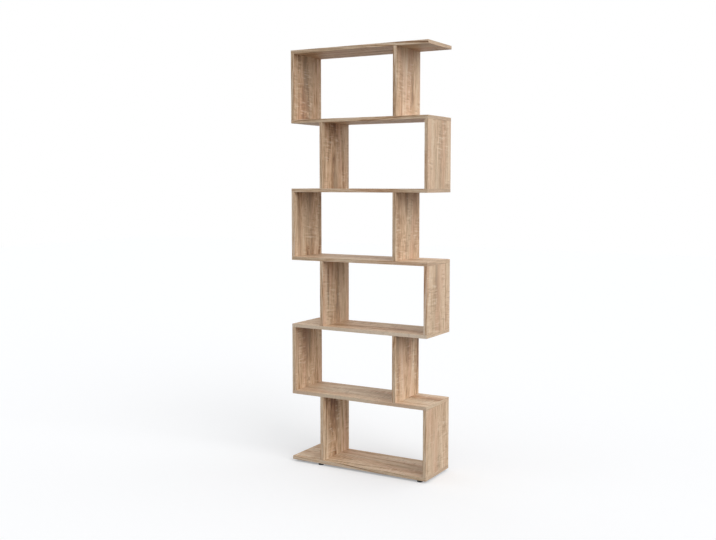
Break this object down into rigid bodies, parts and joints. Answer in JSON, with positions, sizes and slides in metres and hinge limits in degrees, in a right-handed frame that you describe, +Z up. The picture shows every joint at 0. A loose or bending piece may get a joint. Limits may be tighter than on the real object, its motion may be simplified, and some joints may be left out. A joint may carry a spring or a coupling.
{
  "type": "zigzag bookshelf",
  "caption": "Tall open zigzag bookshelf in washed oak decor board, with end and divider panels that swap sides from tier to tier to make wide compartments and open-ended niches.",
  "frame": {"origin": "on the floor, under the middle of the shelf", "axes": "+X to the right as seen from the front, along the boards; +Y from the open front face, which the picture shows, to the rear; +Z up"},
  "size_m": [0.7, 0.235, 1.922],
  "materials": {
    "oak_decor_board": "washed light oak melamine decor on chipboard, satin matt, with matching edge bands",
    "cam_zinc": "die-cast zinc cam with a plated steel bolt",
    "glide_plastic": "moulded black plastic",
    "screw_steel": "zinc-plated steel"
  },
  "bodies": {
    "root": {"base_board": "oak_decor_board", "shelf_board_1": "oak_decor_board", "shelf_board_2": "oak_decor_board", "shelf_board_3": "oak_decor_board", "shelf_board_4": "oak_decor_board", "shelf_board_5": "oak_decor_board", "top_board": "oak_decor_board", "end_panel_1": "oak_decor_board", "divider_panel_1": "oak_decor_board", "end_panel_2": "oak_decor_board", "divider_panel_2": "oak_decor_board", "end_panel_3": "oak_decor_board", "divider_panel_3": "oak_decor_board", "end_panel_4": "oak_decor_board", "divider_panel_4": "oak_decor_board", "end_panel_5": "oak_decor_board", "divider_panel_5": "oak_decor_board", "end_panel_6": "oak_decor_board", "divider_panel_6": "oak_decor_board", "cam_connector_1_end_lower": "cam_zinc", "cam_connector_1_end_upper": "cam_zinc", "cam_connector_1_divider_lower": "cam_zinc", "cam_connector_1_divider_upper": "cam_zinc", "cam_connector_2_end_lower": "cam_zinc", "cam_connector_2_end_upper": "cam_zinc", "cam_connector_2_divider_lower": "cam_zinc", "cam_connector_2_divider_upper": "cam_zinc", "cam_connector_3_end_lower": "cam_zinc", "cam_connector_3_end_upper": "cam_zinc", "cam_connector_3_divider_lower": "cam_zinc", "cam_connector_3_divider_upper": "cam_zinc", "cam_connector_4_end_lower": "cam_zinc", "cam_connector_4_end_upper": "cam_zinc", "cam_connector_4_divider_lower": "cam_zinc", "cam_connector_4_divider_upper": "cam_zinc", "cam_connector_5_end_lower": "cam_zinc", "cam_connector_5_end_upper": "cam_zinc", "cam_connector_5_divider_lower": "cam_zinc", "cam_connector_5_divider_upper": "cam_zinc", "cam_connector_6_end_lower": "cam_zinc", "cam_connector_6_end_upper": "cam_zinc", "cam_connector_6_divider_lower": "cam_zinc", "cam_connector_6_divider_upper": "cam_zinc", "floor_glide_front_left": "glide_plastic", "floor_glide_front_right": "glide_plastic", "floor_glide_rear_left": "glide_plastic", "floor_glide_rear_right": "glide_plastic", "glide_screw_front_left": "screw_steel", "glide_screw_front_right": "screw_steel", "glide_screw_rear_left": "screw_steel", "glide_screw_rear_right": "screw_steel"}
  },
  "joints": []
}
